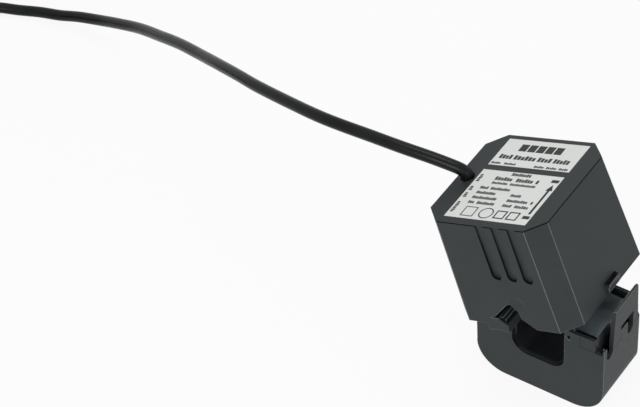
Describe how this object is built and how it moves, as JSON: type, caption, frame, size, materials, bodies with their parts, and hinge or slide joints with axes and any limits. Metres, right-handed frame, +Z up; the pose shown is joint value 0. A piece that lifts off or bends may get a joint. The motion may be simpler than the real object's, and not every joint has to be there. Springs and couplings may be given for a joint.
{
  "type": "split-core current transformer",
  "caption": "Clip-on current transformer with a hinged jaw that closes round a cable, a flexing side latch and a moulded lead.",
  "frame": {"origin": "middle of the jaw's flat foot, on the standing surface", "axes": "+Z up through the cable window to the lid, +Y from the front towards the back along the cable's way through, +X towards the latch"},
  "size_m": [0.3433, 0.0895, 0.0774],
  "materials": {
    "jaw_plastic": "matt",
    "housing_plastic": "satin",
    "label_white": "matt",
    "core_steel": "matt",
    "bright_steel": "satin",
    "bobbin_nylon": "matt",
    "winding_enamel": "gloss",
    "tape_yellow": "gloss",
    "lead_black": "satin",
    "wire_brown": "gloss",
    "wire_blue": "gloss",
    "tinned": "satin",
    "tie_wire": "matt"
  },
  "bodies": {
    "jaw": {"jaw_shell": "jaw_plastic", "jaw_back_cover": "jaw_plastic", "lower_core": "core_steel", "lower_core_spring": "bright_steel", "hinge_pin": "bright_steel"},
    "latch": {"latch_tab": "jaw_plastic"},
    "housing": {"housing_shell": "housing_plastic", "housing_lid": "housing_plastic", "header_label": "label_white", "rating_label": "label_white", "core_tray": "housing_plastic", "upper_core": "core_steel", "bobbin": "bobbin_nylon", "secondary_winding": "winding_enamel", "winding_tape": "tape_yellow", "lead_grommet": "lead_black", "lead_anchor": "lead_black", "inner_lead_brown": "wire_brown", "inner_lead_blue": "wire_blue", "lead_tube": "lead_black", "lead_coil": "lead_black", "coil_tie": "tie_wire", "lead_tail": "lead_black", "core_wire_brown": "wire_brown", "core_wire_blue": "wire_blue", "ferrule_brown": "tinned", "ferrule_blue": "tinned"}
  },
  "joints": [
    {"name": "housing_hinge", "type": "hinge", "parent": "jaw", "child": "housing", "pos_m": [-0.02185, 0, 0.0245], "axis": [0, -1, 0], "range_deg": [-20, 70]},
    {"name": "latch_flex", "type": "hinge", "parent": "jaw", "child": "latch", "pos_m": [0.0218, 0, 0.0259], "axis": [0, 1, 0], "range_deg": [0, 12], "stiffness_Nm_per_rad": 0.05}
  ]
}
